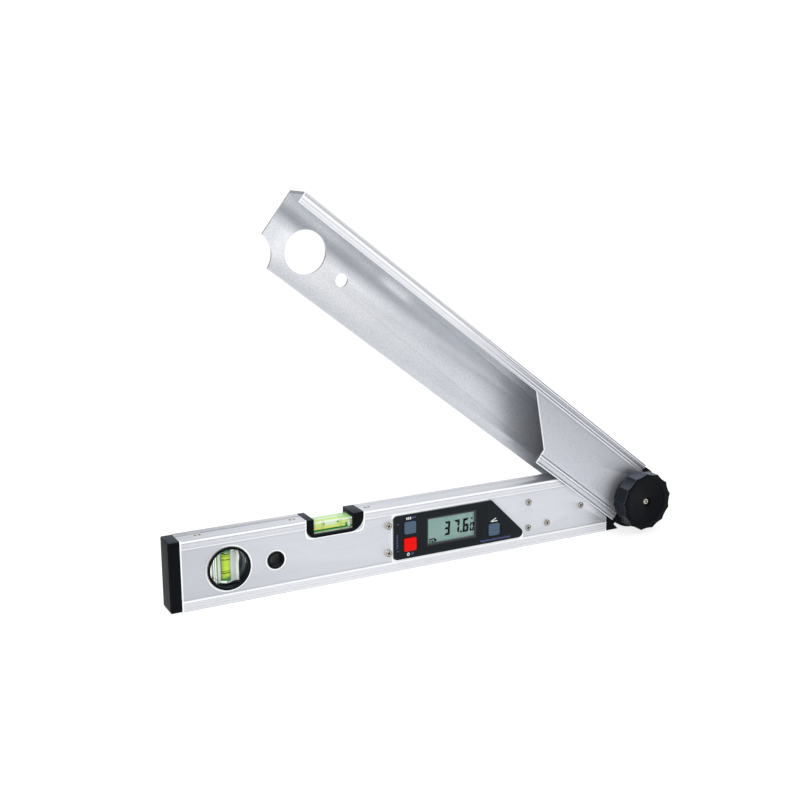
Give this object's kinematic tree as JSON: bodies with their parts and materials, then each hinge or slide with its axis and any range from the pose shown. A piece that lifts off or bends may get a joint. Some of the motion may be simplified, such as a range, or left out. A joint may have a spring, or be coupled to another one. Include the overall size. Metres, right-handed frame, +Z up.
{
  "type": "digital protractor",
  "caption": "Digital angle finder: hollow aluminium level beam with vials, display and keys, and a folding channel arm on a hinge with a clamping knob.",
  "frame": {"origin": "centre of the aluminium beam's flat underside, the measuring face", "axes": "+X along the beam to the hinge, +Y from the display side to the back, +Z up; arm open by 37.6 degrees at rest"},
  "size_m": [0.4576, 0.0501, 0.3087],
  "materials": {
    "beam_aluminium": "satin anodised, fine lengthwise grain",
    "arm_aluminium": "satin anodised, fine grain",
    "black_plastic": "moulded, slightly grained",
    "black_gloss": "smooth",
    "grey_rubber": "soft matt",
    "red_rubber": "soft matt",
    "steel": "zinc plated",
    "brass": "machined",
    "clear_acrylic": "clear, polished",
    "vial_liquid": "clear tinted liquid",
    "green_plastic": "smooth",
    "window": "clear, polished",
    "lcd": "satin",
    "board": "solder resist",
    "copper_foil": "thin film",
    "battery_skin": "printed sleeve, bare",
    "pink_rubber": "soft",
    "friction_material": "matt"
  },
  "bodies": {
    "beam": {"base_beam": "beam_aluminium", "end_cap": "black_plastic", "top_screws": "steel", "round_ring_front": "black_plastic", "round_ring_rear": "black_plastic", "round_vial_block": "clear_acrylic", "round_vial_liquid": "vial_liquid", "vial_plugs": "green_plastic", "vial_lines": "black_gloss", "hole_sleeve": "black_plastic", "level_frame": "black_plastic", "level_vial_block": "clear_acrylic", "level_vial_liquid": "vial_liquid", "display_bezel": "black_plastic", "display_window": "window", "lcd_panel": "lcd", "lcd_connectors": "pink_rubber", "circuit_board": "board", "board_parts": "black_gloss", "key_switches": "steel", "electronics_tray": "black_plastic", "tray_screws": "steel", "board_screws": "steel", "battery_cells": "battery_skin", "battery_contacts": "steel", "base_hub": "black_plastic", "hub_screws": "steel", "bearing_bush": "brass", "encoder_stator": "board", "encoder_cable": "copper_foil", "friction_washer": "friction_material"},
    "arm": {"arm_channel": "arm_aluminium", "arm_hub_front": "black_plastic", "arm_hub_rear": "black_plastic", "arm_rivets": "steel", "arm_screws": "steel", "pivot_shaft": "steel", "shaft_screws": "steel", "encoder_rotor": "black_gloss", "knob_washer": "steel", "knob_screw": "steel"},
    "knob": {"clamp_knob": "black_plastic", "knob_insert": "brass"},
    "hold_key": {"hold_button": "grey_rubber"},
    "power_key": {"power_button": "red_rubber"},
    "mitre_key": {"mitre_button": "grey_rubber"},
    "door": {"battery_door": "black_plastic"}
  },
  "joints": [
    {"name": "arm_hinge", "type": "hinge", "parent": "beam", "child": "arm", "pos_m": [0.223, 0, 0.0296], "axis": [0, 1, 0], "range_deg": [-37.6, 187.4]},
    {"name": "knob_turn", "type": "hinge", "parent": "arm", "child": "knob", "pos_m": [0.223, 0, 0.0296], "axis": [0, -1, 0], "range_deg": [0, 360]},
    {"name": "hold_press", "type": "slide", "parent": "beam", "child": "hold_key", "axis": [0, 1, 0], "range_m": [0, 0.0006], "stiffness_N_per_m": 2000, "springref_m": -0.0003},
    {"name": "power_press", "type": "slide", "parent": "beam", "child": "power_key", "axis": [0, 1, 0], "range_m": [0, 0.0006], "stiffness_N_per_m": 2000, "springref_m": -0.0003},
    {"name": "mitre_press", "type": "slide", "parent": "beam", "child": "mitre_key", "axis": [0, 1, 0], "range_m": [0, 0.0006], "stiffness_N_per_m": 2000, "springref_m": -0.0003},
    {"name": "door_lift", "type": "slide", "parent": "beam", "child": "door", "axis": [0, 1, 0], "range_m": [0, 0.004]}
  ]
}
